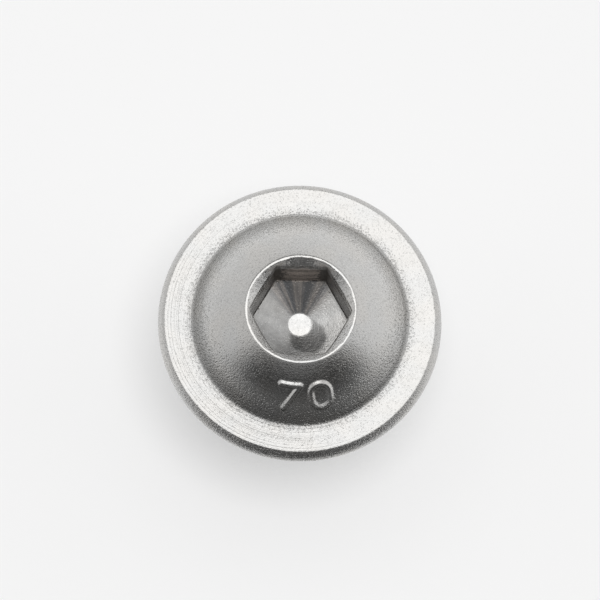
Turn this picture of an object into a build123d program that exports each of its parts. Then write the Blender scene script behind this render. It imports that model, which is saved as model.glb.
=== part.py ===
from build123d import *

import os
from math import cos, radians, sqrt, tan

# Button head screw with a collar and a hexagon socket: M6 x 1, 10 mm long under the head.
# It is one piece of stainless steel: headed from wire, socket punched, thread rolled.
#
# The origin is on the axis, in the plane of the bearing face under the collar. +Z runs up
# through the head and the shank hangs below. Lengths are in millimetres, angles in degrees.
# The thread is drawn as the plain cylinder over its crests, as on a drawing.

# Shank
shank_length = 10.0  # from the bearing face to the end
thread_diameter = 5.9  # over the crests
thread_pitch = 1.0
plain_length = 1.5  # from the bearing face to where the thread starts to run out
end_chamfer = 0.7  # at 45 degrees, a little more than the thread's depth
under_head_fillet = 0.4

# Collar
collar_thickness = 1.2
collar_width = 1.6  # from the foot of the dome to the widest line of the rounded edge
edge_rounding = 0.31  # how far the rounded edge stands out past its two flat faces

# Dome
dome_diameter = 10.0  # at its foot, on the collar
dome_foot_fillet = 0.35
head_height = 3.2  # bearing face to the corner of the mouth, before its lip is rounded

# Socket
socket_flats = 4.06  # across flats, for a 4 mm key
mouth_margin = 0.2  # from the hexagon's corners out to the mouth's rim
mouth_lip = 0.1  # rounding of the rim
countersink_angle = 75.0  # included
floor_thickness = 0.27  # from the bearing face's plane up to the flat of the socket's floor
floor_flat_diameter = 1.05
floor_angle = 12.8  # rise of the floor's cone from the level

# Proportions of an ISO metric thread
crest_to_pitch_line = 0.3248 * thread_pitch
runout_length = 0.5 * thread_pitch

thread_radius = thread_diameter / 2
blank_radius = thread_radius - crest_to_pitch_line  # wire is rolled from its pitch diameter
dome_radius = dome_diameter / 2
collar_radius = dome_radius + collar_width
face_radius = collar_radius - edge_rounding
flats_radius = socket_flats / 2
corner_radius = flats_radius / cos(radians(30))
mouth_radius = corner_radius + mouth_margin
floor_flat_radius = floor_flat_diameter / 2


def shank_outline():
    """Axis to bearing face: flat end, chamfer, thread, run-out and plain neck."""
    Polyline(
        (0, -shank_length),
        (thread_radius - end_chamfer, -shank_length),
        (thread_radius, end_chamfer - shank_length),
        (thread_radius, -plain_length - runout_length),
        (blank_radius, -plain_length),
        (blank_radius, 0),
        (face_radius, 0),
    )


def collar_outline():
    """Rounded edge of the collar and the flat ring on top of it, in to the dome."""
    middle = collar_thickness / 2
    ThreePointArc((face_radius, 0), (collar_radius, middle), (face_radius, collar_thickness))
    Line((face_radius, collar_thickness), (dome_radius, collar_thickness))


def dome_outline():
    """Arc of the sphere, centred on the axis, that joins the foot of the dome to the rim."""
    rise = head_height - collar_thickness
    centre = (mouth_radius**2 - dome_radius**2 + head_height**2 - collar_thickness**2) / (2 * rise)
    sphere_radius = sqrt(dome_radius**2 + (collar_thickness - centre) ** 2)
    middle = (dome_radius + mouth_radius) / 2
    ThreePointArc(
        (dome_radius, collar_thickness),
        (middle, centre + sqrt(sphere_radius**2 - middle**2)),
        (mouth_radius, head_height),
    )


def countersink_outline():
    """Slope of the countersink, run in past the flats, where the hexagon takes over."""
    inner_radius = flats_radius - mouth_margin
    depth = (mouth_radius - inner_radius) / tan(radians(countersink_angle / 2))
    Polyline(
        (mouth_radius, head_height),
        (inner_radius, head_height - depth),
        (0, head_height - depth),
        (0, -shank_length),
    )


def turned_body():
    """The whole screw as a body of revolution, before the hexagon is punched."""
    with BuildPart() as body:
        with BuildSketch(Plane.XZ) as section:
            with BuildLine():
                shank_outline()
                collar_outline()
                dome_outline()
                countersink_outline()
            make_face()
            for radius, height, fillet_radius in (
                (blank_radius, 0, under_head_fillet),
                (dome_radius, collar_thickness, dome_foot_fillet),
                (mouth_radius, head_height, mouth_lip),
            ):
                corners = section.vertices().sort_by_distance((radius, height))
                fillet(corners[0], fillet_radius)
        revolve(axis=Axis.Z)
    return body.part


def socket_punch():
    """Hexagonal punch with a blunt conical tip that ends in a small flat."""
    cone_rise = (mouth_radius - floor_flat_radius) * tan(radians(floor_angle))
    with BuildPart() as punch:
        with BuildSketch(Plane.XZ):
            with BuildLine():
                Polyline(
                    (0, floor_thickness),
                    (floor_flat_radius, floor_thickness),
                    (mouth_radius, floor_thickness + cone_rise),
                    (mouth_radius, head_height),
                    (0, head_height),
                    close=True,
                )
            make_face()
        revolve(axis=Axis.Z)
        with BuildSketch(Plane.XY.offset(floor_thickness)):
            RegularPolygon(flats_radius, 6, major_radius=False)
        extrude(amount=head_height - floor_thickness, mode=Mode.INTERSECT)
    return punch.part


screw = turned_body() - socket_punch()

os.makedirs("parts", exist_ok=True)
export_step(screw, "parts/button_head_screw.step")
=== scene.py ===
"""Looks of a button head screw with a collar, a hexagon socket and a rolled metric thread.

The screw is one piece of metal, so it is one closed mesh. A profile runs from the middle of the
threaded end, up the shank, round the collar, over the dome and down the socket to the middle of
its floor, and a set of columns carries it round the axis. Sizes are in millimetres and angles in
degrees, and the finished mesh is in metres, in the same frame as the solid that it stands for.
"""

import logging
import math
from dataclasses import dataclass, field
from enum import Enum

import bpy
import numpy as np
from mathutils import Matrix, Vector

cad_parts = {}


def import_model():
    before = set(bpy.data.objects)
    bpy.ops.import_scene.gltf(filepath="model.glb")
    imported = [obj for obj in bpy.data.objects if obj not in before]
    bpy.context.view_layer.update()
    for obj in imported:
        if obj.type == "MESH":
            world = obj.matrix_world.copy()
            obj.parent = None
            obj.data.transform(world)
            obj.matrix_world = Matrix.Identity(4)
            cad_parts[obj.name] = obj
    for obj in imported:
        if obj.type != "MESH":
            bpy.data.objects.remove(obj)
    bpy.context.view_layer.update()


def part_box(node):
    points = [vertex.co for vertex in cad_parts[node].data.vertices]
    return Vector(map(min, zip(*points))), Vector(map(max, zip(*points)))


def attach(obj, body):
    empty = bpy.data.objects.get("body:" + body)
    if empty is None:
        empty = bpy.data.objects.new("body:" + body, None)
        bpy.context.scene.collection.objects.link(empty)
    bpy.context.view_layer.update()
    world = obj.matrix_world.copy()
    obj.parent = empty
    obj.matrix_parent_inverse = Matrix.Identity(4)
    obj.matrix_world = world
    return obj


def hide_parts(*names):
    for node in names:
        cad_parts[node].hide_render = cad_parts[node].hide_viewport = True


MM = 0.001
MICRON = 0.000001
NODE = "button_head_screw"
BODY = "root"
SLOT = "stainless_steel"

# Times this, a place or a direction loses its height.
LEVEL = (1.0, 1.0, 0.0)

# Types that the hints name often. A profile holds points (radius from the axis, height), for one
# column or for each.
Link = bpy.types.NodeSocket
Colour = tuple[float, float, float]
Wave = tuple[int, float, float]
Limits = tuple[float, float]
Way = tuple[float, float]
Profile = np.ndarray

log = logging.getLogger("screw")


class Digit(Enum):
    """Plain numerals that can stand on the dome."""

    SEVEN = "7"
    NOUGHT = "0"


# ---------------------------------------------------------------------------------------------
# Curves and small formulas
# ---------------------------------------------------------------------------------------------


def cosine(angle: float) -> float:
    """Cosine of an angle in degrees."""
    return math.cos(math.radians(angle))


def heading(turn: float, lean: float) -> tuple[float, float, float]:
    """Direction at an azimuth and at an angle from straight up."""
    turn, lean = math.radians(turn), math.radians(lean)
    return math.sin(lean) * math.cos(turn), math.sin(lean) * math.sin(turn), math.cos(lean)


def smooth(value: np.ndarray) -> np.ndarray:
    """Smooth step: 0 below 0, 1 above 1, and 3t^2 - 2t^3 between them."""
    t = np.clip(value, 0.0, 1.0)
    return t * t * (3.0 - 2.0 * t)


def soft_minimum(a: np.ndarray, b: np.ndarray, width: float) -> np.ndarray:
    """The lower of two values, with the corner between them rounded.

    Where they are closer than the width, the lower one loses (width - gap)^2 / (4 width).

    Args:
        a: First value.
        b: Second value.
        width: How close they are where the rounding starts.

    Returns:
        The rounded minimum, never above the plain one.
    """
    gap = np.clip(width - np.abs(a - b), 0.0, None)
    return np.minimum(a, b) - gap * gap / (4.0 * width)


def arc(centre: tuple[float, float], radius: float, start: float, end: float, count: int) -> Profile:
    """Points (radius from the axis, height) of a circle's arc, at even angles in radians."""
    angle = np.linspace(start, end, count)
    return np.stack([centre[0] + radius * np.cos(angle), centre[1] + radius * np.sin(angle)], -1)


def rounded(before: Profile, corner: Profile, after: Profile, reach: float, count: int = 4) -> Profile:
    """Points of the parabola that rounds the corner between two lines.

    It leaves the first line at the reach before the corner and joins the second at the reach
    after it: (1 - t)^2 a + 2t(1 - t) c + t^2 b, where c is the corner.

    Args:
        before: A point on the first line, or one for each column.
        corner: The corner, or one for each column.
        after: A point on the second line, or one for each column.
        reach: Distance from the corner to each end of the parabola.
        count: Number of points.

    Returns:
        The points, from the first line to the second.
    """
    before, corner, after = (np.asarray(p, float) for p in (before, corner, after))
    back, on = before - corner, after - corner
    a = corner + reach * back / np.linalg.norm(back, axis=-1, keepdims=True)
    b = corner + reach * on / np.linalg.norm(on, axis=-1, keepdims=True)
    t = np.linspace(0.0, 1.0, count).reshape((-1,) + (1,) * corner.ndim)
    return (1 - t) ** 2 * a + 2 * t * (1 - t) * corner + t**2 * b


def between(start: Profile, end: Profile, shares: tuple[float, ...]) -> Profile:
    """Points on a straight way.

    Args:
        start: Its start, or one for each column.
        end: Its end, or one for each column.
        shares: Shares of the way at which the points lie.

    Returns:
        The points.
    """
    start, end = np.asarray(start, float), np.asarray(end, float)
    share = np.asarray(shares, float).reshape((-1,) + (1,) * start.ndim)
    return start + (end - start) * share


def stroke_distance(u: np.ndarray, v: np.ndarray, start: tuple, end: tuple) -> np.ndarray:
    """Distance from points to a straight stroke.

    A point is dropped on the line at t = (p - start).d / d.d, with t held from 0 to 1.

    Args:
        u: How far the points lie across.
        v: How far they lie up.
        start: The stroke's start (u, v).
        end: The stroke's end (u, v).

    Returns:
        The distances.
    """
    du, dv = end[0] - start[0], end[1] - start[1]
    t = np.clip(((u - start[0]) * du + (v - start[1]) * dv) / (du * du + dv * dv), 0.0, 1.0)
    return np.hypot(u - start[0] - t * du, v - start[1] - t * dv)


def past(edge: float, limits: Limits) -> Limits:
    """Two limits that are counted from an edge."""
    return edge + limits[0], edge + limits[1]


def placed(name: str, data: bpy.types.ID) -> bpy.types.Object:
    """A new object in the scene.

    Args:
        name: Its name.
        data: Its mesh, light or camera.

    Returns:
        The object.
    """
    made = bpy.data.objects.new(name, data)
    bpy.context.scene.collection.objects.link(made)
    return made


# ---------------------------------------------------------------------------------------------
# The screw's forms
# ---------------------------------------------------------------------------------------------


@dataclass(frozen=True)
class Shank:
    """Chamfered end, rolled thread, neck and the fillet under the head.

    The depths of the pitch line and of the roots are given in pitches.
    """

    length: float = 10.0
    thread_diameter: float = 5.9
    pitch: float = 1.0
    pitch_line_depth: float = 0.3248
    root_depth: float = 0.6134
    flank_lean: float = 30.0
    neck_length: float = 1.5
    fade: float = 0.8
    end_chamfer: float = 0.7
    end_rounding: float = 0.04
    crest_rounding: float = 0.03
    fillet: float = 0.4
    fillet_rows: int = 8

    @property
    def crest(self) -> float:
        """Radius over the crests."""
        return self.thread_diameter / 2

    @property
    def blank(self) -> float:
        """Radius of the wire that the thread is rolled from, which is the pitch radius."""
        return self.crest - self.pitch_line_depth * self.pitch

    @property
    def root(self) -> float:
        """Radius at the bottom of the rounded roots."""
        return self.crest - self.root_depth * self.pitch

    @property
    def end_radius(self) -> float:
        """Radius of the flat end, inside its chamfer."""
        return self.crest - self.end_chamfer

    @property
    def phases(self) -> np.ndarray:
        """Shares of a pitch where rows follow the thread: crest, flank, root, flank."""
        half = np.array([0.0, 0.042, 0.0625, 0.083, 0.16, 0.27, 0.355, 0.385, 0.42, 0.46, 0.5])
        return np.concatenate([half, 1.0 - half[-2:0:-1]])

    def thread_radius(self, phase: np.ndarray) -> np.ndarray:
        """Radius of an ISO metric thread.

        The crest is an eighth of a pitch wide, the flanks lean 30 degrees, and the root is an
        arc that touches both flanks an eighth of a pitch from its middle.

        Args:
            phase: Shares of the pitch from the middle of a crest.

        Returns:
            The radius at each share.
        """
        lean = math.radians(self.flank_lean)
        away = np.abs((phase + 0.5) % 1.0 - 0.5) * self.pitch
        flank = self.crest - (away - self.pitch / 16) / math.tan(lean)
        land = np.full_like(flank, self.crest)
        upper = soft_minimum(land, flank, self.crest_rounding)
        root_arc = self.pitch / 8 / math.cos(lean)
        from_root = np.clip(self.pitch / 2 - away, 0.0, self.pitch / 8)
        lower = self.root + root_arc - np.sqrt(root_arc**2 - from_root**2)
        return np.where(away > self.pitch * 3 / 8, lower, upper)

    def surface_radius(self, phase: np.ndarray, height: np.ndarray) -> np.ndarray:
        """Thread radius, held inside the end's chamfer and fading into the neck at its top.

        Args:
            phase: Share of the pitch from the middle of a crest, for each row.
            height: Height of each row at each column.

        Returns:
            The radius at each row and column.
        """
        depth = 1.0 - smooth((height + self.neck_length + self.fade) / self.fade)
        radius = self.blank + (self.thread_radius(phase) - self.blank) * depth
        return soft_minimum(radius, self.end_radius + height + self.length, self.end_rounding)

    def end_rows(self) -> Profile:
        """Profile of the flat end, from near the axis out to where the chamfer starts.

        Returns:
            The profile's points.
        """
        middle, edge = (0.0, -self.length), (self.end_radius, -self.length)
        slope = (self.crest, -self.length + self.end_chamfer)
        flat = between(middle, edge, (0.3, 0.6, 0.85, 0.96))
        return np.vstack([flat, rounded(middle, edge, slope, self.end_rounding)])

    def neck_rows(self) -> Profile:
        """Profile of the plain neck and the fillet under the head.

        Returns:
            The profile's points.
        """
        neck = between((self.blank, -self.neck_length), (self.blank, -self.fillet), (0, 0.4, 0.8))
        corner = (self.blank + self.fillet, -self.fillet)
        return np.vstack([neck, arc(corner, self.fillet, math.pi, math.pi / 2, self.fillet_rows)])

    def turns(self, low: float, high: float, columns: np.ndarray) -> tuple[np.ndarray, np.ndarray]:
        """Rows that follow the thread from one ring to another.

        A row keeps its share of the pitch and climbs one pitch in a turn: its height is
        low - pitch + pitch (whole turns + phase + column / 360).

        Args:
            low: Height of the ring under the rows.
            high: Height of the ring over them.
            columns: Azimuths, with the full turn as the last.

        Returns:
            Radius and height of each row at each column.
        """
        count = math.ceil((high - low) / self.pitch) + 2
        phase = np.tile(self.phases, count)
        turn = np.repeat(np.arange(count), len(self.phases))
        climb = (turn + phase)[:, None] + columns[None, :] / 360.0
        height = low - self.pitch + self.pitch * climb
        return self.surface_radius(phase[:, None], height), height


@dataclass(frozen=True)
class Head:
    """Collar with a rounded edge, and the dome on it.

    The height is a hair less than the solid's, because the lip is rounder here and still has to
    stay under the solid's top.
    """

    collar_thickness: float = 1.2
    collar_width: float = 1.6
    edge_rounding: float = 0.31
    corner: float = 0.035
    dome_radius: float = 5.0
    foot_fillet: float = 0.2
    height: float = 3.189
    edge_rows: int = 17
    fillet_rows: int = 10
    low_dome_rows: int = 5
    high_dome_rows: int = 8

    @property
    def collar_radius(self) -> float:
        """Radius at the widest line of the collar."""
        return self.dome_radius + self.collar_width

    @property
    def face_radius(self) -> float:
        """Radius of the collar's two flat faces."""
        return self.collar_radius - self.edge_rounding

    def sphere(self, mouth_radius: float) -> tuple[float, float]:
        """The sphere through the dome's foot and the mouth.

        Args:
            mouth_radius: Radius of the socket's mouth.

        Returns:
            Height of its centre, and its radius.
        """
        rise = self.height - self.collar_thickness
        squares = mouth_radius**2 - self.dome_radius**2 + self.height**2 - self.collar_thickness**2
        centre = squares / (2 * rise)
        return centre, math.hypot(self.dome_radius, self.collar_thickness - centre)

    def foot_centre(self, mouth_radius: float) -> tuple[float, float]:
        """Centre of the fillet that touches the ring's plane and the dome from outside.

        Args:
            mouth_radius: Radius of the socket's mouth, which sets the dome.

        Returns:
            Its distance from the axis, and its height.
        """
        centre, radius = self.sphere(mouth_radius)
        height = self.collar_thickness + self.foot_fillet
        return math.sqrt((radius + self.foot_fillet) ** 2 - (height - centre) ** 2), height

    def collar_rows(self, inner_radius: float, mouth_radius: float) -> Profile:
        """Profile of the bearing face, the rounded edge and the ring, in to the dome's fillet.

        Args:
            inner_radius: Where the fillet under the head meets the bearing face.
            mouth_radius: Radius of the socket's mouth, which sets the dome.

        Returns:
            The profile's points.
        """
        top, half = self.collar_thickness, self.collar_thickness / 2
        bulge = (half**2 + self.edge_rounding**2) / (2 * self.edge_rounding)
        swing = math.asin(half / bulge)
        edge = arc((self.collar_radius - bulge, half), bulge, -swing, swing, self.edge_rows)
        under, over = (inner_radius, 0.0), self.foot_centre(mouth_radius)[0]
        low = rounded(under, edge[0], edge[1], self.corner)
        high = rounded(edge[-2], edge[-1], (over, top), self.corner)
        face = between(under, edge[0], (0.3, 0.7, 0.95))
        ring = between(edge[-1], (over, top), (0.08, 0.25, 0.5, 0.75, 0.92))
        return np.vstack([face, low, edge[1:-1], high, ring])

    def foot_rows(self, mouth_radius: float) -> Profile:
        """Profile of the fillet between the ring and the dome, without its upper end.

        Args:
            mouth_radius: Radius of the socket's mouth, which sets the dome.

        Returns:
            The profile's points.
        """
        centre, _ = self.sphere(mouth_radius)
        reach, height = self.foot_centre(mouth_radius)
        lean = math.atan2(height - centre, reach)
        rows = arc((reach, height), self.foot_fillet, -math.pi / 2, lean - math.pi, self.fillet_rows)
        return rows[:-1]


@dataclass(frozen=True)
class Numerals:
    """Plain raised numerals that stand on the dome, with their feet to the collar.

    The leg of a 7 ends at a share of the digit's half width.
    """

    digits: tuple[Digit, ...] = (Digit.SEVEN, Digit.NOUGHT)
    azimuth: float = -86.0
    spacing: float = 21.0
    radius: float = 4.0
    height: float = 1.42
    width: float = 1.1
    stroke: float = 0.23
    bevel: float = 0.085
    relief: float = 0.1
    leg_share: float = 0.45
    spare_turn: float = 2.0
    spare_reach: float = 0.03
    row_spacing: float = 0.034

    @property
    def span(self) -> tuple[float, float]:
        """First and last azimuth that the numerals and their bevels need."""
        half = self.spacing * len(self.digits) / 2 + self.spare_turn
        return self.azimuth - half, self.azimuth + half

    @property
    def reach(self) -> float:
        """Distance that they reach up or down the dome from their middle."""
        return self.height / 2 + self.bevel + self.spare_reach

    def distance(self, digit: Digit, u: np.ndarray, v: np.ndarray) -> np.ndarray:
        """Distance from the middle of a digit's stroke.

        A 7 is two straight strokes. A 0 is the outline of a slot: the distance to its middle
        line, less the slot's half width.

        Args:
            digit: The digit.
            u: How far the points lie across it from its middle.
            v: How far they lie up from its middle.

        Returns:
            The distance at each point.
        """
        half_width, half_height = (self.width - self.stroke) / 2, (self.height - self.stroke) / 2
        if digit is Digit.SEVEN:
            corner = (half_width, half_height)
            bar = stroke_distance(u, v, (-half_width, half_height), corner)
            leg = stroke_distance(u, v, corner, (-half_width * self.leg_share, -half_height))
            return np.minimum(bar, leg)
        end = half_height - half_width
        return np.abs(stroke_distance(u, v, (0.0, -end), (0.0, end)) - half_width)

    def relief_at(self, azimuth: np.ndarray, radius: np.ndarray, climb: np.ndarray) -> np.ndarray:
        """How far the numerals stand out of the dome.

        Args:
            azimuth: Azimuths of the columns.
            radius: Distance of each row from the axis.
            climb: Distance of each row up the dome from the numerals' middle.

        Returns:
            The relief at each row and column, with smooth bevels along the strokes.
        """
        relief = np.zeros((len(radius), len(azimuth)))
        first = self.azimuth - self.spacing * (len(self.digits) - 1) / 2
        for number, digit in enumerate(self.digits):
            turn = (azimuth - (first + number * self.spacing) + 180.0) % 360.0 - 180.0
            across = np.radians(turn)[None, :] * radius[:, None]
            away = self.distance(digit, across, np.broadcast_to(climb[:, None], across.shape))
            rise = smooth((self.stroke / 2 + self.bevel - away) / (2 * self.bevel))
            relief = np.maximum(relief, self.relief * rise)
        return relief


@dataclass(frozen=True)
class HexSocket:
    """Countersunk hexagon socket with a blunt conical floor.

    The lip's wander is a sum of waves, each with its count round the mouth, its phase and its
    share.
    """

    flats: float = 4.06
    mouth_margin: float = 0.2
    lip_radius: float = 0.22
    lip_crown: float = 2.525
    lip_lean: float = 12.0
    lip_rows_count: int = 8
    lip_wander: float = 0.006
    lip_waves: tuple[Wave, ...] = ((5, 1.0, 1.0), (11, 2.2, 1.0), (19, 0.4, 1.0), (31, 3.0, 0.8))
    countersink_angle: float = 75.0
    countersink_tilt: float = 36.0
    knee_share: float = 0.2
    corner_rounding: float = 0.08
    edge: float = 0.03
    foot_edge: float = 0.06
    floor_height: float = 0.27
    floor_flat_diameter: float = 1.05
    floor_angle: float = 12.8

    @property
    def mouth_radius(self) -> float:
        """Radius of the mouth, before its lip is rounded."""
        return self.flats / 2 / cosine(30) + self.mouth_margin

    @property
    def corner_half_angle(self) -> float:
        """Half the azimuth that the rounding of one hexagon corner takes.

        Returns:
            The angle.
        """
        half = self.flats / 2
        tangent = (half - self.corner_rounding) * math.tan(math.radians(30))
        return 30.0 - math.degrees(math.atan2(tangent, half))

    def hexagon_radius(self, azimuth: np.ndarray) -> np.ndarray:
        """Distance from the axis to the hexagon's wall, with its corners at 0, 60, 120...

        On a flat it is half the flats over the cosine of the angle from the flat's middle. At a
        corner it is d cos b + sqrt(r^2 - d^2 sin^2 b), with b from the corner, r its rounding and
        d the distance of the rounding's centre.

        Args:
            azimuth: Azimuths of the columns.

        Returns:
            The distance at each column.
        """
        from_flat = np.abs(azimuth % 60.0 - 30.0)
        from_corner = np.radians(30.0 - from_flat)
        flat = self.flats / 2 / np.cos(np.radians(from_flat))
        centre = (self.flats / 2 - self.corner_rounding) / cosine(30)
        inside = np.clip(self.corner_rounding**2 - (centre * np.sin(from_corner)) ** 2, 0, None)
        rounding = centre * np.cos(from_corner) + np.sqrt(inside)
        return np.where(from_flat > 30.0 - self.corner_half_angle, rounding, flat)

    def lip_arc(self, head: Head) -> tuple[tuple[float, float], float, float]:
        """The arc of the lip.

        It touches the dome from inside and is level at the crown's radius. It ends where it
        leans into the mouth.

        Args:
            head: Sizes of the dome.

        Returns:
            Its centre, and the angles where it leaves the dome and ends.
        """
        sphere_height, sphere_radius = head.sphere(self.mouth_radius)
        rise = math.sqrt((sphere_radius - self.lip_radius) ** 2 - self.lip_crown**2)
        first = math.atan2(rise, self.lip_crown)
        return (self.lip_crown, sphere_height + rise), first, math.radians(90.0 + self.lip_lean)

    def lip_rows(self, head: Head, azimuth: np.ndarray) -> Profile:
        """Rows of the rounded lip, with the slight wander that punching leaves.

        The wander is a sum of sines round the mouth. It is nothing on the dome and full at the
        lip's inner edge.

        Args:
            head: Sizes of the dome.
            azimuth: Azimuths of the columns.

        Returns:
            Radius and height of each row at each column.
        """
        centre, first, last = self.lip_arc(head)
        rows = arc(centre, self.lip_radius, first, last, self.lip_rows_count)[:, None, :]
        turn = np.radians(azimuth)
        waves = sum(size * np.sin(count * turn + phase) for count, phase, size in self.lip_waves)
        share = np.linspace(0.0, 1.0, self.lip_rows_count)[:, None] ** 2
        rows = np.repeat(rows, len(azimuth), axis=1)
        rows[..., 0] += self.lip_wander * waves[None, :] * share
        return rows

    def inner_rows(self, head: Head, azimuth: np.ndarray) -> Profile:
        """Rows of the countersink, the hexagon's walls and the conical floor.

        At each column the wall stands at the hexagon's radius. It starts where the countersink's
        cone has that radius and ends where the floor's cone has it. The countersink is worn
        flatter over most of its width, down to a knee that is a share of its width from the wall.

        Args:
            head: Sizes of the dome.
            azimuth: Azimuths of the columns.

        Returns:
            Radius and height of each row at each column.
        """
        start = self.lip_rows(head, azimuth)[-1]
        wall = self.hexagon_radius(azimuth)
        slope = math.tan(math.radians(self.countersink_angle / 2))
        rise = math.tan(math.radians(self.floor_angle))
        disc = self.floor_flat_diameter / 2
        upper = np.stack([wall, head.height - (self.mouth_radius - wall) / slope], -1)
        lower = np.stack([wall, self.floor_height + (wall - disc) * rise], -1)
        knee_radius = wall + (start[:, 0] - wall) * self.knee_share
        fall = (start[:, 0] - knee_radius) * math.tan(math.radians(self.countersink_tilt))
        knee = np.stack([knee_radius, start[:, 1] - fall], -1)
        rim = np.broadcast_to(np.array([disc, self.floor_height]), upper.shape)
        middle = np.broadcast_to(np.array([0.0, self.floor_height]), upper.shape)
        return np.concatenate(
            [
                between(start, knee, (0.08, 0.35, 0.65)),
                rounded(start, knee, upper, self.edge),
                rounded(knee, upper, lower, self.edge),
                between(upper, lower, (0.12, 0.35, 0.65, 0.88)),
                rounded(upper, lower, rim, self.foot_edge, count=5),
                between(lower, rim, (0.1, 0.3, 0.55, 0.8, 0.94)),
                rounded(lower, rim, middle, self.edge / 2, count=3),
                between(rim, middle, (0.1, 0.5, 0.8)),
            ]
        )


@dataclass(frozen=True)
class Columns:
    """Azimuths that carry the profile round the axis, closer where there is more to show.

    A coarse one gives way to a close one that is nearer than a share of the coarse spacing.
    """

    spacing: float = 3.0
    fine_spacing: float = 0.45
    least_share: float = 0.3
    decimals: int = 9

    def azimuths(self, numerals: Numerals, socket: HexSocket) -> np.ndarray:
        """The azimuths in order, from 0 up to under 360.

        Args:
            numerals: Raised numerals, which need close columns.
            socket: Hexagon socket, which needs a column at each side of each rounded corner.

        Returns:
            The azimuths in degrees.
        """
        first, last = numerals.span
        fine = np.linspace(first, last, math.ceil((last - first) / self.fine_spacing) + 1)
        share = np.array([-1.0, -0.5, 0.0, 0.5, 1.0]) * socket.corner_half_angle
        corners = (np.arange(0.0, 360.0, 60.0)[:, None] + share[None, :]).ravel()
        kept = np.concatenate([fine % 360.0, corners % 360.0])
        coarse = np.arange(0.0, 360.0, self.spacing)
        near = np.abs((coarse[:, None] - kept[None, :] + 180.0) % 360.0 - 180.0).min(1)
        inside = (coarse - first) % 360.0 < last - first
        free = coarse[(near > self.spacing * self.least_share) & ~inside]
        return np.unique(np.round(np.concatenate([kept, free]), self.decimals))


# ---------------------------------------------------------------------------------------------
# Finish
# ---------------------------------------------------------------------------------------------


class Graph:
    """Adds nodes to one node tree and joins them."""

    def __init__(self, tree: bpy.types.NodeTree) -> None:
        """Empties the tree and keeps it."""
        self.tree = tree
        tree.nodes.clear()

    def put(self, target: Link, value: object) -> None:
        """Joins a socket to the target, or writes a plain value on it.

        Args:
            target: Input socket.
            value: Output socket, number or vector, or a colour as red, green and blue.
        """
        if isinstance(value, bpy.types.NodeSocket):
            self.tree.links.new(value, target)
        elif target.type == "RGBA":
            target.default_value = (*value, 1.0)
        else:
            target.default_value = value

    def add(self, kind: str, *values: object, **settings: object) -> bpy.types.Node:
        """A new node.

        Args:
            kind: Type of the node.
            values: What its first inputs get.
            settings: The node's own settings.

        Returns:
            The node.
        """
        node = self.tree.nodes.new(kind)
        for name, setting in settings.items():
            setattr(node, name, setting)
        for target, value in zip(node.inputs, values):
            self.put(target, value)
        return node

    def fill(self, node: bpy.types.Node, output: str, **values: object) -> Link:
        """Puts values on a node's inputs by name.

        Args:
            node: The node.
            output: Name of the output that is wanted.
            values: The values, by the names of their inputs.

        Returns:
            The output.
        """
        for name, value in values.items():
            self.put(node.inputs[name], value)
        return node.outputs[output]

    def math(self, operation: str, *values: object) -> Link:
        """Result of a Math node on up to three values."""
        return self.add("ShaderNodeMath", *values, operation=operation).outputs[0]

    def vector(self, operation: str, *values: object, output: str = "Vector") -> Link:
        """Result of a Vector Math node on up to two vectors."""
        return self.add("ShaderNodeVectorMath", *values, operation=operation).outputs[output]

    def scaled(self, vector: object, factor: object) -> Link:
        """A vector times a number."""
        node = self.add("ShaderNodeVectorMath", vector, operation="SCALE")
        return self.fill(node, "Vector", Scale=factor)

    def toward(self, vector: Link, *way: float) -> Link:
        """How far a vector goes along a way (x, y) or (x, y, z)."""
        return self.vector("DOT_PRODUCT", vector, (*way, 0.0)[:3], output="Value")

    def product(self, first: object, *values: object) -> Link:
        """All the values multiplied.

        Args:
            first: The first value.
            values: The others.

        Returns:
            The product.
        """
        total = first
        for value in values:
            total = self.math("MULTIPLY", total, value)
        return total

    def weighted(self, *terms: tuple[object, object]) -> Link:
        """Sum of value times weight.

        Args:
            terms: A value and its weight, for each term.

        Returns:
            The sum.
        """
        total: object = 0.0
        for value, weight in terms:
            total = self.math("MULTIPLY_ADD", value, weight, total)
        return total

    def step(self, value: object, low: float, high: float, *ends: object) -> Link:
        """Smooth step of a value.

        Args:
            value: The value.
            low: Where the step starts. It may lie above its end.
            high: Where the step ends.
            ends: Results at its start and end, which are 0 and 1 if left out.

        Returns:
            The result.
        """
        values = (value, low, high, *(ends or (0.0, 1.0)))
        node = self.add("ShaderNodeMapRange", *values, interpolation_type="SMOOTHSTEP")
        return node.outputs["Result"]

    def mix(self, share: object, first: object, second: object) -> Link:
        """Colour between two, by a share."""
        node = self.add("ShaderNodeMix", data_type="RGBA")
        return self.fill(node, "Result", Factor=share, A=first, B=second)

    def noise(self, place: object, scale: float, detail: float = 2.0, roughness: float = 0.5) -> Link:
        """Noise at a place, from 0 to 1."""
        node = self.add("ShaderNodeTexNoise", noise_dimensions="3D")
        return self.fill(node, "Fac", Vector=place, Scale=scale, Detail=detail, Roughness=roughness)

    def wander(self, place: object, scale: float, roughness: float = 0.5) -> Link:
        """Noise at a place, less its middle: from -0.5 to 0.5."""
        return self.math("SUBTRACT", self.noise(place, scale, roughness=roughness), 0.5)

    def lines(self, value: object, scale: float, roughness: float) -> Link:
        """Lines along which a value stays the same: noise of that value, from 0 to 1."""
        node = self.add("ShaderNodeTexNoise", noise_dimensions="1D")
        return self.fill(node, "Fac", W=value, Scale=scale, Detail=2.0, Roughness=roughness)

    def surface(self, kind: str, shader: Link) -> None:
        """Makes a shader the output of the tree."""
        self.put(self.add(kind).inputs["Surface"], shader)


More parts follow.
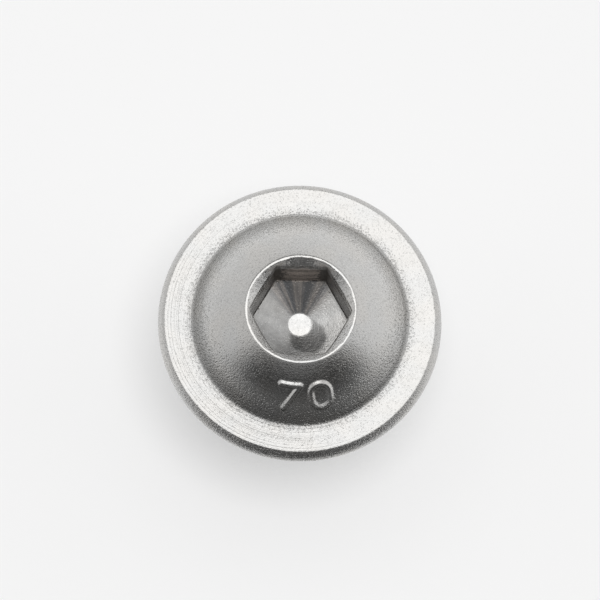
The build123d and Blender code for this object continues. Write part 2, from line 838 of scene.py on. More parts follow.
class Regions:
    """Where a point of the finish lies on the screw, worked out in its node tree.

    Lengths are in millimetres. A region is a share: 1 in it, 0 elsewhere, with a soft edge whose
    two limits are given one after the other. Limits named "from" a form are counted from its edge.
    Ways are directions (x, y) from the axis.
    """

    ABOVE: Limits = (0.2, 0.3)
    BELOW: Limits = (0.0, -0.1)
    RAGGED_SIZE = 5.0
    RAGGED_ROUGHNESS = 0.6
    SIDE_FROM_FACE: Limits = (-0.02, 0.05)
    ROUGH_WAY: Way = (-0.2, -0.98)
    ROUGH_LIMITS: Limits = (0.1, 0.8)
    ROUGH_LEAST = 0.45
    RING_FROM_FOOT: Limits = (-0.05, 0.12)
    RING_FROM_TOP: Limits = (-0.12, -0.03)
    RING_FROM_FACE: Limits = (0.02, -0.02)

    MOUTH_FROM_CROWN: Limits = (-0.02, -0.08)
    LIP_OUTER_FROM_CROWN: Limits = (0.11, 0.05)
    LIP_INNER_FROM_CROWN: Limits = (-0.1, -0.06)
    LIP_FROM_TOP: Limits = (-0.35, -0.25)
    WALL_FROM_FLAT: Limits = (-0.1, -0.03)
    BESIDE_FROM_FLOOR: Limits = (0.42, 0.5)
    FILM_FROM_FLOOR: Limits = (0.33, 0.5)
    FILM_FROM_MOUTH: Limits = (0.0, -0.1)
    FILM_TOP: Limits = (2.75, 2.6)

    CORNER_WAYS: tuple[Way, ...] = ((-0.5, 0.866), (0.5, 0.866))
    CORNER_WIDTH: Limits = (0.965, 0.995)
    CORNER_INNER: Limits = (2.15, 2.35)
    CORNER_OUTER: Limits = (2.48, 2.36)
    CORNER_RAGGED_SIZE = 7.0
    CORNER_RAGGED_TURN = 0.06
    CORNER_RAGGED_EDGE = 0.4
    CORNER_STRENGTH = 0.85
    # Where the punch's lines show. The same share lays brown and grey on the floor, partly a painted dark
    # reflection.
    PUNCH_BACK: Limits = (0.62, 0.88)
    PUNCH_FAINT = 0.03
    PUNCH_TOP: Limits = (2.75, 2.45)
    PUNCH_OVER_TOP = 0.3
    PUNCH_DISC: Limits = (0.5, 0.65)

    def __init__(self, g: Graph, head: Head, socket: HexSocket, ragged_edges: float) -> None:
        """Works out the place and the regions.

        Args:
            g: The finish's node tree.
            head: Sizes of the collar and the dome.
            socket: Sizes of the socket.
            ragged_edges: How far the edges of the film wander up and down.
        """
        self.g, self.head, self.socket = g, head, socket
        self.place = g.scaled(g.add("ShaderNodeTexCoord").outputs["Object"], 1.0 / MM)
        self.height = g.add("ShaderNodeSeparateXYZ", self.place).outputs["Z"]
        level = g.vector("MULTIPLY", self.place, LEVEL)
        self.radius = g.vector("LENGTH", level, output="Value")
        self.around = g.vector("NORMALIZE", level)
        self.back = self.facing(0.0, 1.0)
        self.ragged = g.wander(self.place, self.RAGGED_SIZE, self.RAGGED_ROUGHNESS)

        self.above = self.up(*self.ABOVE)
        self.below = self.up(*self.BELOW)
        self.mouth = self.out(*past(socket.lip_crown, self.MOUTH_FROM_CROWN))
        self.inside = g.product(self.mouth, self.above)
        self.ring = self.ring_share()
        self.side = self.out(*past(head.face_radius, self.SIDE_FROM_FACE))
        rough = g.step(self.facing(*self.ROUGH_WAY), *self.ROUGH_LIMITS, self.ROUGH_LEAST, 1.0)
        self.rough_side = g.product(self.side, rough)
        self.corner = self.corner_share()
        self.film = g.math("MAXIMUM", self.wall_share(ragged_edges), self.corner)
        self.beside = self.beside_share()
        self.lip = self.lip_share()
        # The punch's lines, and the painted dark reflection at the back of the socket's floor.
        self.punched = self.punch_lines_and_reflection_share()
        collar = g.math("MAXIMUM", self.ring, self.side)
        other = g.math("MAXIMUM", self.inside, self.below)
        self.dome = g.math("SUBTRACT", 1.0, g.math("MAXIMUM", collar, other))

    def out(self, low: float, high: float, *ends: object) -> Link:
        """Smooth step of the distance from the axis."""
        return self.g.step(self.radius, low, high, *ends)

    def up(self, low: float, high: float, *ends: object) -> Link:
        """Smooth step of the height."""
        return self.g.step(self.height, low, high, *ends)

    def facing(self, x: float, y: float) -> Link:
        """How nearly the point lies this way from the axis: 1 if it does, -1 if opposite."""
        return self.g.toward(self.around, x, y)

    def frayed(self, amount: float, value: Link) -> Link:
        """A value with ragged noise added, so that limits on it are uneven."""
        return self.g.math("MULTIPLY_ADD", self.ragged, amount, value)

    def ring_share(self) -> Link:
        """The flat ring on top of the collar.

        Returns:
            The share.
        """
        foot = self.out(*past(self.head.dome_radius, self.RING_FROM_FOOT))
        top = self.up(*past(self.head.collar_thickness, self.RING_FROM_TOP))
        face = self.out(*past(self.head.face_radius, self.RING_FROM_FACE))
        return self.g.product(foot, top, face)

    def beside_share(self) -> Link:
        """The hexagon's walls and the countersink over them.

        Returns:
            The share.
        """
        wall = self.out(*past(self.socket.flats / 2, self.WALL_FROM_FLAT))
        foot = self.up(*past(self.socket.floor_height, self.BESIDE_FROM_FLOOR))
        return self.g.product(wall, foot, self.mouth)

    def wall_share(self, ragged_edges: float) -> Link:
        """The film on the hexagon's walls, from a little over their foot to the countersink.

        Args:
            ragged_edges: How far its edges wander up and down.

        Returns:
            The share.
        """
        height = self.frayed(ragged_edges, self.height)
        wall = self.out(*past(self.socket.flats / 2, self.WALL_FROM_FLAT))
        foot = self.g.step(height, *past(self.socket.floor_height, self.FILM_FROM_FLOOR))
        top = self.g.step(height, *self.FILM_TOP)
        mouth = self.out(*past(self.socket.mouth_radius, self.FILM_FROM_MOUTH))
        return self.g.product(wall, foot, top, mouth)

    def lip_share(self) -> Link:
        """The lip of the mouth, which is worn smooth.

        Returns:
            The share.
        """
        outer = self.out(*past(self.socket.lip_crown, self.LIP_OUTER_FROM_CROWN))
        inner = self.out(*past(self.socket.lip_crown, self.LIP_INNER_FROM_CROWN))
        return self.g.product(inner, outer, self.up(*past(self.head.height, self.LIP_FROM_TOP)))

    def corner_share(self) -> Link:
        """Smudges of the film outside the hexagon's two back corners, with uneven edges.

        Returns:
            The share.
        """
        g = self.g
        ragged = g.wander(self.place, self.CORNER_RAGGED_SIZE)
        total: object = 0.0
        for way in self.CORNER_WAYS:
            near = g.weighted((self.facing(*way), 1.0), (ragged, self.CORNER_RAGGED_TURN))
            total = g.math("MAXIMUM", g.step(near, *self.CORNER_WIDTH), total)
        out = g.weighted((self.radius, 1.0), (ragged, self.CORNER_RAGGED_EDGE))
        span = g.product(g.step(out, *self.CORNER_INNER), self.out(*self.CORNER_OUTER))
        return g.product(total, span, self.inside, self.CORNER_STRENGTH)

    def punch_lines_and_reflection_share(self) -> Link:
        """How strong the punch's lines are: full at the back of the socket, faint elsewhere. The same
        share turns the floor brown and grey, partly the lines' own colour and partly a painted dark
        reflection at the back.

        Returns:
            The share.
        """
        strong = self.g.step(self.back, *self.PUNCH_BACK, self.PUNCH_FAINT, 1.0)
        under = self.up(*self.PUNCH_TOP, self.PUNCH_OVER_TOP, 1.0)
        return self.g.product(strong, self.inside, under, self.out(*self.PUNCH_DISC))


@dataclass(frozen=True)
class SteelFinish:
    """Bright stainless steel: forged dome, turned ring, punched socket and rolled thread.

    Heights of the relief are in micrometres, and patterns are counted per millimetre. Ways are
    directions (x, y) from the axis. Limits named "from" a form are counted from its edge.
    """

    colour: Colour = (0.645, 0.64, 0.63)
    warm_change: Colour = (1.01, 1.0, 0.985)
    cool_change: Colour = (0.995, 0.998, 0.998)
    drift_size: float = 0.8
    drift_limits: Limits = (0.3, 0.7)
    colour_change: float = 0.5
    smooth_share: float = 0.25
    socket_change: float = 0.8
    patch_ragged: float = 0.9

    dome_roughness: float = 0.17
    ring_roughness: float = 0.22
    side_roughness: float = 0.26
    socket_roughness: float = 0.16
    wall_roughness: float = 0.26
    back_roughness: float = 0.36
    lip_roughness: float = 0.12
    thread_roughness: float = 0.26
    least_roughness: float = 0.08
    mottle_gloss: float = 0.08
    sparkle: float = 0.5

    grain_size: float = 12.0
    grain_middle: float = 0.4
    pit_size: float = 13.8
    pit_limits: Limits = (0.5, 0.78)
    pit_share: float = 0.5
    dome_grain: float = 9.5
    lip_grain_share: float = 0.4
    foot_grain: float = 26.0
    foot_grain_limits: Limits = (3.7, 4.7)
    ring_grain: float = 6.0
    fringe_grain: float = 10.0
    fringe_from_foot: Limits = (0.55, 0.1)
    side_grain: float = 34.0
    socket_grain: float = 3.5
    beside_grain: float = 14.0
    thread_grain: float = 2.5

    mottle_size: float = 2.0
    mottle_height: float = 4.0
    turning_lines: float = 7.0
    turning_height: float = 17.0
    turning_way: Way = (-0.85, -0.53)
    turning_limits: Limits = (-0.5, 0.9)
    turning_least: float = 0.2
    rolled_lines: float = 9.0
    rolled_height: float = 16.0
    streak_count: float = 5.0
    streak_slant: float = 0.04
    streak_height: float = 7.0
    streak_limits: Limits = (0.38, 0.62)
    # Brown and grey at the back of the socket's floor: partly the punch's lines, partly a painted dark
    # reflection.
    streak_and_reflection_brown: Colour = (0.55, 0.505, 0.47)
    streak_and_reflection_grey: Colour = (0.22, 0.225, 0.235)
    streak_and_reflection_strength: float = 0.9

    film_colour: Colour = (0.11, 0.10, 0.09)
    # Painted light: the colour the film takes on the socket's far wall and in the highlight at its foot.
    painted_light_colour: Colour = (0.66, 0.575, 0.515)
    film_bands: float = 2.4
    band_limits: Limits = (0.35, 0.6)
    band_ragged: float = 0.15
    band_darkest: float = 0.6
    # The painted light on the far wall lies in bands that bow lower in the middle.
    bowed_darkest: float = 0.55
    bowed_ragged: float = 0.5
    bow: float = 3.0
    ends_ragged: float = 0.4
    film_ragged: float = 0.5
    film_dullness: float = 0.8
    # Where the painted light on the far wall lies, its faintest share and its bands' strength.
    far_wall_light_bottom: Limits = (0.8, 1.1)
    far_wall_light_top: Limits = (2.5, 2.25)
    far_wall_light_ends: Limits = (0.84, 0.97)
    far_wall_light_corner: Limits = (0.3, 0.0)
    far_wall_light_least: float = 0.5
    far_wall_band_gain: float = 0.85
    # A painted highlight line along the foot of the socket's far wall.
    foot_highlight_top: Limits = (0.72, 0.67)
    foot_highlight_depth: Limits = (1.965, 1.985)
    foot_highlight_ends: Limits = (0.93, 1.0)
    foot_highlight_strength: float = 0.7
    beside_gain: float = 0.4
    gain_limits: Limits = (0.8, 0.9)

    # The collar's side is made darker away from the front.
    side_darkening: float = 0.22
    # Painted shade in the dome's foot, where it meets the ring: broad on one side, a crease on the other.
    foot_shade_width: float = 0.65
    foot_shade_depth: float = 0.24
    foot_edge: float = 0.2
    foot_shade_thin_share: float = 0.15
    foot_shade_way: Way = (-0.9, -0.43)
    foot_shade_limits: Limits = (-0.2, 0.9)
    crease_shade_way: Way = (0.95, -0.3)
    crease_shade_limits: Limits = (-0.2, 0.7)
    crease_shade_from_foot: Limits = (-0.25, -0.1)
    # A round painted dark reflection beside the disc on the socket's floor.
    dark_reflection_place: Way = (0.38, -0.62)
    dark_reflection_way: Way = (0.35, -0.94)
    dark_reflection_radius: float = 0.85
    dark_reflection_edge: float = 0.12
    dark_reflection_from_disc: Limits = (0.02, 0.1)
    dark_reflection_wander_size: float = 1.8
    dark_reflection_wander: float = 0.2
    dark_reflection_limits: Limits = (0.0, 1.1)
    dark_reflection_depth: float = 0.64
    dark_reflection_thin_share: float = 0.55
    # A fainter painted dark reflection on the other side of the disc.
    faint_reflection_way: Way = (-0.5, -0.87)
    faint_reflection_limits: Limits = (0.5, 1.5)
    faint_reflection_depth: float = 0.28

    def material(self, head: Head, socket: HexSocket) -> bpy.types.Material:
        """The steel, with its relief and gloss set by where a point lies on the screw.

        Args:
            head: Sizes of the collar and the dome.
            socket: Sizes of the socket.

        Returns:
            The material.
        """
        made = bpy.data.materials.new(SLOT)
        made.use_nodes = True
        g = Graph(made.node_tree)
        at = Regions(g, head, socket, self.film_ragged)
        grain, mottle, streaks = self.grain(at), g.wander(at.place, self.mottle_size), self.streaks(at)
        bump = g.add("ShaderNodeBump")
        bump.inputs["Distance"].default_value = MICRON
        bumped = g.fill(bump, "Normal", Height=self.relief(at, grain, mottle, streaks))
        bands = self.bands(at, at.frayed(self.band_ragged, at.height), self.band_darkest)
        # The film's colour also carries painted light on the socket's far wall and along its foot.
        film, cover = self.film(at)
        shade = g.add("ShaderNodeBsdfPrincipled")
        g.put(shade.inputs["Roughness"], self.roughness(at, grain, mottle))
        g.put(shade.inputs["Metallic"], g.math("MULTIPLY_ADD", cover, -self.film_dullness, 1.0))
        paint = g.mix(cover, self.steel(at, streaks), film)
        light = g.math("MULTIPLY_ADD", self.uneven(at, grain, mottle, bands), self.colour_change, 1.0)
        # Painted dark reflections and painted shade darken the colour here, as does the collar's side away
        # from the front.
        light = g.product(light, g.math("SUBTRACT", 1.0, self.darkening(at)))
        g.put(shade.inputs["Base Color"], g.scaled(paint, light))
        g.put(shade.inputs["Normal"], bumped)
        g.surface("ShaderNodeOutputMaterial", shade.outputs[0])
        return made

    def grain(self, at: Regions) -> Link:
        """Fine grain, less the pits in it.

        Args:
            at: The regions.

        Returns:
            The grain, whose middle is about 0.4.
        """
        grain = at.g.noise(at.place, self.grain_size, detail=3.0, roughness=0.6)
        pits = at.g.step(at.g.noise(at.place, self.pit_size, detail=1.0), *self.pit_limits)
        return at.g.weighted((grain, 1.0), (pits, -self.pit_share))

    def streaks(self, at: Regions) -> Link:
        """Lines that the punch leaves down the socket: noise of the direction from the axis.

        Args:
            at: The regions.

        Returns:
            The lines, which change a little with height.
        """
        slant = at.g.math("MULTIPLY", at.height, self.streak_slant)
        down = at.g.add("ShaderNodeCombineXYZ", 0.0, 0.0, slant).outputs[0]
        return at.g.noise(at.g.vector("ADD", at.around, down), self.streak_count, roughness=0.6)

    def turning(self, at: Regions) -> Link:
        """Fine lines round the axis: noise of the radius, stronger on one side of the screw."""
        strong = at.g.step(at.facing(*self.turning_way), *self.turning_limits, self.turning_least, 1.0)
        return at.g.product(at.g.lines(at.radius, self.turning_lines, roughness=0.7), strong)

    def bands(self, at: Regions, height: Link, darkest: float) -> Link:
        """Bands one over the other on the film: the darkest in a dark one, 1 in a light one."""
        lines = at.g.lines(height, self.film_bands, roughness=0.5)
        return at.g.step(lines, *self.band_limits, darkest, 1.0)

    def relief(self, at: Regions, grain: Link, mottle: Link, streaks: Link) -> Link:
        """Height of the surface's relief, in micrometres.

        Args:
            at: The regions.
            grain: Fine grain.
            mottle: Broad, low dents.
            streaks: The punch's lines.

        Returns:
            The height: grain as coarse as the region's, with the lines that each region has.
        """
        g = at.g
        smoother = (self.lip_grain_share - 1.0) * self.dome_grain
        fringe = g.product(at.ring, at.out(*past(at.head.dome_radius, self.fringe_from_foot)))
        rolled = g.product(g.lines(at.height, self.rolled_lines, roughness=0.6), at.side)
        coarse = g.weighted(
            (at.dome, g.math("MULTIPLY_ADD", at.lip, smoother, self.dome_grain)),
            (g.product(at.dome, at.out(*self.foot_grain_limits)), self.foot_grain),
            (at.ring, self.ring_grain),
            (fringe, self.fringe_grain),
            (at.rough_side, self.side_grain),
            (at.inside, self.socket_grain),
            (at.beside, self.beside_grain),
            (at.below, self.thread_grain),
        )
        return g.weighted(
            (grain, coarse),
            (mottle, self.mottle_height),
            (g.product(self.turning(at), at.ring), self.turning_height),
            (g.product(streaks, at.punched), self.streak_height),
            (rolled, self.rolled_height),
        )

    def roughness(self, at: Regions, grain: Link, mottle: Link) -> Link:
        """How rough the surface is, too finely for the relief.

        Args:
            at: The regions.
            grain: Fine grain, which makes the dome and the collar's side sparkle.
            mottle: Broad, low dents.

        Returns:
            The roughness.
        """
        g = at.g
        sparkling = g.product(g.math("SUBTRACT", grain, self.grain_middle), g.math("ADD", at.dome, at.side))
        total = g.weighted(
            (at.dome, self.dome_roughness),
            (at.ring, self.ring_roughness),
            (at.side, self.side_roughness),
            (at.inside, self.socket_roughness),
            (at.beside, self.wall_roughness - self.socket_roughness),
            (g.product(at.beside, at.punched), self.back_roughness - self.wall_roughness),
            (at.below, self.thread_roughness),
            (mottle, self.mottle_gloss),
            (sparkling, self.sparkle),
        )
        return g.math("MAXIMUM", g.step(at.lip, 0.0, 1.0, total, self.lip_roughness), self.least_roughness)

    def film(self, at: Regions) -> tuple[Link, Link]:
        """The dark film in the socket, with painted light on the far wall and a painted highlight
        along that wall's foot.

        The painted light on the far wall lies in bands that hang lower in the middle, and its ends
        are ragged. The painted highlight at the foot isn't held inside the socket: it also lies on
        the back of the shank and of the collar's side and underside, below its top.

        Args:
            at: The regions.

        Returns:
            The film's colour with the painted light, and how far it covers the steel.
        """
        g = at.g
        bowed = g.weighted(
            (at.frayed(self.band_ragged, at.height), 1.0),
            (g.math("SUBTRACT", at.back, 1.0), self.bow),
            (at.ragged, self.bowed_ragged),
        )
        middle = g.product(g.step(bowed, *self.far_wall_light_bottom), g.step(bowed, *self.far_wall_light_top))
        across = at.frayed(self.ends_ragged, at.back)
        # Painted light: the far wall is made lighter, in bands, with ragged ends.
        far_wall_light = g.product(
            g.step(middle, 0.0, 1.0, self.far_wall_light_least, 1.0),
            self.bands(at, bowed, self.bowed_darkest),
            g.step(across, *self.far_wall_light_ends),
            g.step(at.corner, *self.far_wall_light_corner),
        )
        # A painted highlight line along the far wall's foot.
        foot_highlight = g.product(
            at.up(*self.foot_highlight_top),
            g.step(g.product(at.radius, at.back), *self.foot_highlight_depth),
            g.step(across, *self.foot_highlight_ends, 0.0, self.foot_highlight_strength),
        )
        colour = g.mix(g.math("MAXIMUM", far_wall_light, foot_highlight), self.film_colour, self.painted_light_colour)
        return colour, g.math("MAXIMUM", at.film, foot_highlight)

    def steel(self, at: Regions, streaks: Link) -> Link:
        """The bare steel's colour, a little warmer or cooler from place to place. At the back of the
        socket's floor it turns brown and grey, partly the punch's lines and partly a painted dark
        reflection.

        Args:
            at: The regions.
            streaks: The punch's lines, which are brown and grey on the socket's floor.

        Returns:
            The colour.
        """
        g = at.g
        warm, cool = (
            tuple(c * f for c, f in zip(self.colour, change))
            for change in (self.warm_change, self.cool_change)
        )
        drift = g.noise(at.place, self.drift_size, detail=0.0)
        bare = g.mix(g.step(drift, *self.drift_limits), cool, warm)
        # Brown and grey streaks: partly the punch's lines, partly a painted dark reflection.
        punch = g.mix(g.step(streaks, *self.streak_limits), self.streak_and_reflection_grey, self.streak_and_reflection_brown)
        clear = g.math("MULTIPLY_ADD", at.beside, -self.streak_and_reflection_strength, self.streak_and_reflection_strength)
        return g.mix(g.product(at.punched, clear), bare, punch)

    def uneven(self, at: Regions, grain: Link, mottle: Link, bands: Link) -> Link:
        """How much lighter the surface is than its colour, or darker where it is below 0.

        Args:
            at: The regions.
            grain: Fine grain, which shows most on the dome and the collar's side.
            mottle: Broad patches, for the inside of the socket.
            bands: Bands of the film beside the hexagon, stronger in the painted light on the far wall.

        Returns:
            The change.
        """
        g = at.g
        forged = g.math("ADD", at.dome, at.side)
        forged = g.math("MULTIPLY_ADD", forged, 1.0 - self.smooth_share, self.smooth_share)
        patches = g.weighted((mottle, 1.0), (at.ragged, self.patch_ragged))
        gain = g.step(at.back, *self.gain_limits, self.beside_gain, self.far_wall_band_gain)
        return g.weighted(
            (g.math("SUBTRACT", grain, self.grain_middle), forged),
            (g.product(patches, at.inside), self.socket_change),
            (g.product(gain, at.beside), g.step(bands, self.band_darkest, 1.0, self.band_darkest, 1.0)),
        )

    def darkening(self, at: Regions) -> Link:
        """Darkening: a painted dark reflection on the socket's floor, painted shade in the dome's
        foot, and the collar's side, darker away from the front.

        Args:
            at: The regions.

        Returns:
            How much of its light the surface loses.
        """
        darker_side = at.g.math("SUBTRACT", at.side, at.rough_side)
        dark_reflection, foot = at.g.product(self.dark_reflection(at), at.inside), at.g.product(self.foot(at), at.above)
        return at.g.weighted((dark_reflection, 1.0), (foot, 1.0), (darker_side, self.side_darkening))

    def dark_reflection(self, at: Regions) -> Link:
        """A round painted dark reflection beside the disc on the socket's floor, and a fainter
        one on its other side.

        Args:
            at: The regions.

        Returns:
            How dark the painted reflections make the socket.
        """
        g, deep = at.g, self.dark_reflection_depth
        away = g.vector("SUBTRACT", at.place, (*self.dark_reflection_place, at.socket.floor_height))
        away = g.vector("LENGTH", g.vector("MULTIPLY", away, LEVEL), output="Value")
        away = g.weighted((away, 1.0), (g.wander(at.place, self.dark_reflection_wander_size), self.dark_reflection_wander))
        spot = g.step(away, self.dark_reflection_radius + self.dark_reflection_edge, self.dark_reflection_radius - self.dark_reflection_edge)
        along, low = g.toward(at.place, *self.dark_reflection_way), g.toward(at.place, *self.faint_reflection_way)
        depth = g.step(along, *self.dark_reflection_limits, deep * self.dark_reflection_thin_share, deep)
        faint_reflection = g.step(low, *self.faint_reflection_limits, 0.0, self.faint_reflection_depth)
        round_disc = at.out(*past(at.socket.floor_flat_diameter / 2, self.dark_reflection_from_disc))
        return g.math("MAXIMUM", g.product(spot, round_disc, depth), faint_reflection)

    def foot(self, at: Regions) -> Link:
        """Painted shade at the foot of the dome, where it meets the ring: broad on one side, a narrow
        crease on the other.

        Args:
            at: The regions.

        Returns:
            How dark the painted shade makes the foot.
        """
        g, foot, deep = at.g, at.head.dome_radius, self.foot_shade_depth
        outer = at.out(foot + self.foot_edge, foot)
        broad = g.step(at.facing(*self.foot_shade_way), *self.foot_shade_limits, deep * self.foot_shade_thin_share, deep)
        narrow = g.step(at.facing(*self.crease_shade_way), *self.crease_shade_limits, 0.0, deep)
        band = g.product(at.out(foot - self.foot_shade_width, foot - self.foot_edge), outer, broad)
        crease = g.product(at.out(*past(foot, self.crease_shade_from_foot)), outer, narrow)
        return g.math("MAXIMUM", band, crease)


# ---------------------------------------------------------------------------------------------
# The screw
# ---------------------------------------------------------------------------------------------


@dataclass
class Screw:
    """The whole screw: its regions, its mesh and its finish."""

    shank: Shank = field(default_factory=Shank)
    head: Head = field(default_factory=Head)
    socket: HexSocket = field(default_factory=HexSocket)
    numerals: Numerals = field(default_factory=Numerals)
    columns: Columns = field(default_factory=Columns)
    finish: SteelFinish = field(default_factory=SteelFinish)

    def dome_rows(self, azimuth: np.ndarray) -> Profile:
        """Rows of the dome, from the foot's fillet up to the lip, with the numerals on it.

        A point lies on the sphere at an angle over the horizon, pushed out by the relief.

        Args:
            azimuth: Azimuths of the columns.

        Returns:
            Radius and height of each row at each column.
        """
        mouth = self.socket.mouth_radius
        centre, radius = self.head.sphere(mouth)
        reach, height = self.head.foot_centre(mouth)
        low = math.atan2(height - centre, reach)
        high = self.socket.lip_arc(self.head)[1]
        middle = math.acos(self.numerals.radius / radius)
        half = self.numerals.reach / radius
        count = math.ceil(2 * self.numerals.reach / self.numerals.row_spacing)
        fine = np.linspace(middle - half, middle + half, count)
        before = np.linspace(low, fine[0], self.head.low_dome_rows)[:-1]
        after = np.linspace(fine[-1], high, self.head.high_dome_rows)[1:-1]
        angle = np.concatenate([before, fine, after])
        relief = self.numerals.relief_at(azimuth, radius * np.cos(angle), (angle - middle) * radius)
        out = radius + relief
        return np.stack([out * np.cos(angle)[:, None], centre + out * np.sin(angle)[:, None]], -1)

    def rings(self, azimuth: np.ndarray) -> tuple[Profile, Profile]:
        """Rings of the end, and rings from the neck to the socket's floor.

        Args:
            azimuth: Azimuths of the columns.

        Returns:
            Radius and height at each ring and column, below the thread and above it.
        """
        mouth = self.socket.mouth_radius
        neck = self.shank.neck_rows()
        plain = [neck, self.head.collar_rows(neck[-1][0], mouth), self.head.foot_rows(mouth)]
        spun = [np.repeat(rows[:, None, :], len(azimuth), axis=1) for rows in plain]
        end = np.repeat(self.shank.end_rows()[:, None, :], len(azimuth), axis=1)
        lip = self.socket.lip_rows(self.head, azimuth)
        inner = self.socket.inner_rows(self.head, azimuth)
        return end, np.concatenate([*spun, self.dome_rows(azimuth), lip, inner])

    def mesh(self) -> bpy.types.Mesh:
        """The closed mesh, in metres.

        Rings are joined in order. Between the end and the neck the rows follow the thread, and
        where a row passes one of those two rings it is held on it. After a full turn a row goes
        on as the one that lies a pitch higher, so the seam is closed.

        Returns:
            The mesh, with its faces outwards.
        """
        azimuth = self.columns.azimuths(self.numerals, self.socket)
        end, rest = self.rings(azimuth)
        rings = np.concatenate([end, rest])
        turns_radius, turns_height = self.shank.turns(end[-1, 0, 1], rest[0, 0, 1], azimuth)
        count, total = len(azimuth), len(rings)
        ends = [rings[0, 0, 1], rings[-1, 0, 1]]
        radius = np.concatenate([rings[..., 0].ravel(), turns_radius.ravel(), [0.0, 0.0]])
        height = np.concatenate([rings[..., 1].ravel(), turns_height.ravel(), ends])
        turn = np.radians(np.concatenate([np.tile(azimuth, total + len(turns_radius)), [0.0, 0.0]]))
        points = np.stack([radius * np.cos(turn), radius * np.sin(turn), height], -1) * MM

        ring_ids = np.arange(total * count).reshape(total, count)
        turn_ids = total * count + np.arange(turns_radius.size).reshape(turns_radius.shape)
        low, high = ring_ids[len(end) - 1], ring_ids[len(end)]
        turn_ids = np.where(turns_height <= end[-1, 0, 1], low[None, :], turn_ids)
        turn_ids = np.where(turns_height >= rest[0, 0, 1], high[None, :], turn_ids)
        pitch_rows = len(self.shank.phases)
        onward = np.concatenate([turn_ids[pitch_rows:, 0], np.full(pitch_rows, high[0])])
        around = [
            np.concatenate([ring_ids[: len(end)], ring_ids[: len(end), :1]], 1),
            np.concatenate([turn_ids, onward[:, None]], 1),
            np.concatenate([ring_ids[len(end) :], ring_ids[len(end) :, :1]], 1),
        ]
        poles = total * count + turns_radius.size + np.arange(2)
        first = np.full((1, count + 1), poles[0])
        last = np.full((1, count + 1), poles[1])
        strips = [np.concatenate([first, around[0]]), around[1], np.concatenate([around[2], last])]
        faces = np.concatenate([self.triangles(strip) for strip in strips])
        used, faces = np.unique(faces, return_inverse=True)
        made = bpy.data.meshes.new(NODE + "_look")
        made.from_pydata(points[used].tolist(), [], faces.reshape(-1, 3).tolist())
        made.validate()
        made.shade_smooth()
        return made

    def triangles(self, ids: np.ndarray) -> np.ndarray:
        """Two triangles for each cell of a grid, without those that have a corner twice.

        Args:
            ids: Numbers of the grid's corners.

        Returns:
            The corners of each triangle.
        """
        a, b, c, d = ids[:-1, :-1], ids[:-1, 1:], ids[1:, 1:], ids[1:, :-1]
        both = np.stack([a, b, c, a, c, d], -1).reshape(-1, 3)
        real = (both[:, 0] != both[:, 1]) & (both[:, 1] != both[:, 2]) & (both[:, 2] != both[:, 0])
        return both[real]

    def build(self) -> bpy.types.Object:
        """The screw as an object that rides on its body and stands for its solid.

        Returns:
            The object.
        """
        piece = placed("screw", self.mesh())
        piece.data.materials.append(self.finish.material(self.head, self.socket))
        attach(piece, BODY)
        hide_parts(NODE)
        corners, faces = len(piece.data.vertices), len(piece.data.polygons)
        log.info("%s: %d vertices, %d triangles", piece.name, corners, faces)
        return piece


# ---------------------------------------------------------------------------------------------
# Studio
# ---------------------------------------------------------------------------------------------


@dataclass(frozen=True)
class Glow:
    """A round patch of the studio, with a soft edge: a direction, two angles and a level.

    The turn is the azimuth, the lean is the angle from straight up.
    """

    turn: float
    lean: float
    inner: float
    outer: float
    level: float

    def over(self, g: Graph, way: Link, light: object) -> Link:
        """The light with the patch laid over it."""
        near = g.toward(way, *heading(self.turn, self.lean))
        return g.step(near, cosine(self.outer), cosine(self.inner), light, self.level)


@dataclass(frozen=True)
class Front:
    """The dark sector in front of the screw, which is a little lighter near the horizon.

    The angles of its top are measured from straight up. Rises are cosines of that angle.
    """

    light: float = 0.064
    low_light: float = 0.2
    azimuth: float = -88.0
    half_width: float = 64.0
    soft: float = 14.0
    top: float = 30.0
    low_from: Limits = (0.5, 0.1)
    low_to: Limits = (-0.2, 0.0)

    def over(self, g: Graph, way: Link, light: Link) -> Link:
        """The light with the dark front laid over it.

        Args:
            g: The world's node tree.
            way: Direction that is looked in.
            light: The light without the front.

        Returns:
            The light.
        """
        rise = g.add("ShaderNodeSeparateXYZ", way).outputs["Z"]
        flat = g.vector("NORMALIZE", g.vector("MULTIPLY", way, LEVEL))
        ahead = g.toward(flat, *heading(self.azimuth, 90.0)[:2])
        sector = g.step(ahead, cosine(self.half_width + self.soft), cosine(self.half_width - self.soft))
        under = g.step(rise, cosine(self.top - self.soft), cosine(self.top + self.soft))
        shade = g.product(sector, under)
        low = g.product(g.step(rise, *self.low_from), g.step(rise, *self.low_to))
        dark = g.math("MULTIPLY_ADD", low, self.low_light - self.light, self.light)
        return g.weighted((light, g.math("SUBTRACT", 1.0, shade)), (shade, dark))


